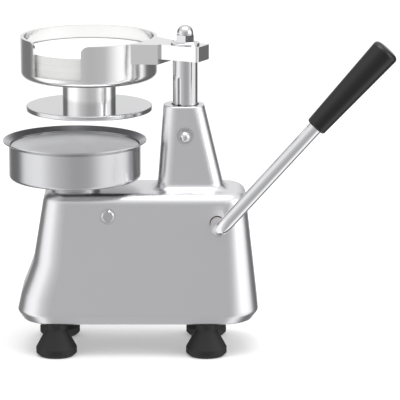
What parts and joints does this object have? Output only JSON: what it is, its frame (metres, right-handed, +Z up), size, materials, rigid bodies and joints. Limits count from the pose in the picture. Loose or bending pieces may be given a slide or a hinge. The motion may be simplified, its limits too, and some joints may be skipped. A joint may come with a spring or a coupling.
{
  "type": "hand burger press",
  "caption": "Hand burger press: cast body on rubber feet, steel bowl with ejector, swinging press head with paper tray, side lever.",
  "frame": {"origin": "on the floor, under the middle of the bounding box; the main post's axis is at X -11.2 mm, Y -10.6 mm", "axes": "+Z up along the post, +X along the casting away from the bowl, -Y towards the lever side (front)"},
  "size_m": [0.3888, 0.2226, 0.3291],
  "materials": {
    "cast_aluminium": "satin cast and brushed",
    "polished_aluminium": "polished",
    "stainless": "turned and brushed",
    "polished_steel": "polished",
    "chrome_bar": "bright chrome",
    "zinc_steel": "zinc plated",
    "bronze": "machined",
    "black_plastic": "satin moulded",
    "black_rubber": "matt",
    "paper": "plain white paper"
  },
  "bodies": {
    "frame": {"housing": "cast_aluminium", "bottom_cover": "stainless", "cover_screws": "zinc_steel", "rubber_feet": "black_rubber", "foot_screws": "zinc_steel", "bowl": "stainless", "bowl_screws": "zinc_steel", "guide_screw": "zinc_steel", "guide_washer": "polished_steel", "guide_nut": "polished_steel", "stop_pin": "polished_steel", "stop_clip": "zinc_steel", "ejector_bush": "bronze"},
    "lift_bridge": {"lift_bridge": "cast_aluminium", "ejector_rod": "stainless", "ejector_rod_nut": "zinc_steel", "ejector_plate": "stainless", "thrust_washer": "bronze"},
    "swing_sleeve": {"swing_sleeve": "stainless", "sleeve_key": "zinc_steel"},
    "head": {"post": "polished_steel", "post_clip": "zinc_steel", "head_casting": "polished_aluminium", "press_stem": "polished_aluminium", "press_plate": "polished_steel", "stem_bolt": "zinc_steel", "paper_discs": "paper", "post_washer": "polished_steel", "post_nut": "polished_steel"},
    "lever_bush": {"front_shaft_bush": "bronze", "rear_shaft_bush": "bronze"},
    "lever": {"lever_rod": "chrome_bar", "pinion": "stainless", "pinion_pin": "zinc_steel", "shaft_washer": "zinc_steel", "shaft_clip": "zinc_steel", "grip": "black_plastic"}
  },
  "joints": [
    {"name": "lever_first_turn", "type": "hinge", "parent": "frame", "child": "lever_bush", "pos_m": [0.02075, -0.01031, 0.136], "axis": [0, -1, 0], "range_deg": [0, 54.56]},
    {"name": "lever_press_turn", "type": "hinge", "parent": "lever_bush", "child": "lever", "pos_m": [0.02075, -0.01031, 0.136], "axis": [0, -1, 0], "range_deg": [0, 54.56]},
    {"name": "lift_drop", "type": "slide", "parent": "frame", "child": "lift_bridge", "axis": [0, 0, -1], "range_m": [0, 0.02]},
    {"name": "head_swing", "type": "hinge", "parent": "lift_bridge", "child": "swing_sleeve", "pos_m": [-0.01125, -0.01031, 0.22], "axis": [0, 0, 1], "range_deg": [0, 28]},
    {"name": "press_drop", "type": "slide", "parent": "swing_sleeve", "child": "head", "axis": [0, 0, -1], "range_m": [0, 0.02]}
  ],
  "couplings": [
    {"joint": "lift_drop", "follows": "lever_first_turn", "m_per_rad": 0.021},
    {"joint": "head_swing", "follows": "lever_first_turn", "ratio": 0.5131},
    {"joint": "press_drop", "follows": "lever_press_turn", "m_per_rad": 0.021}
  ]
}
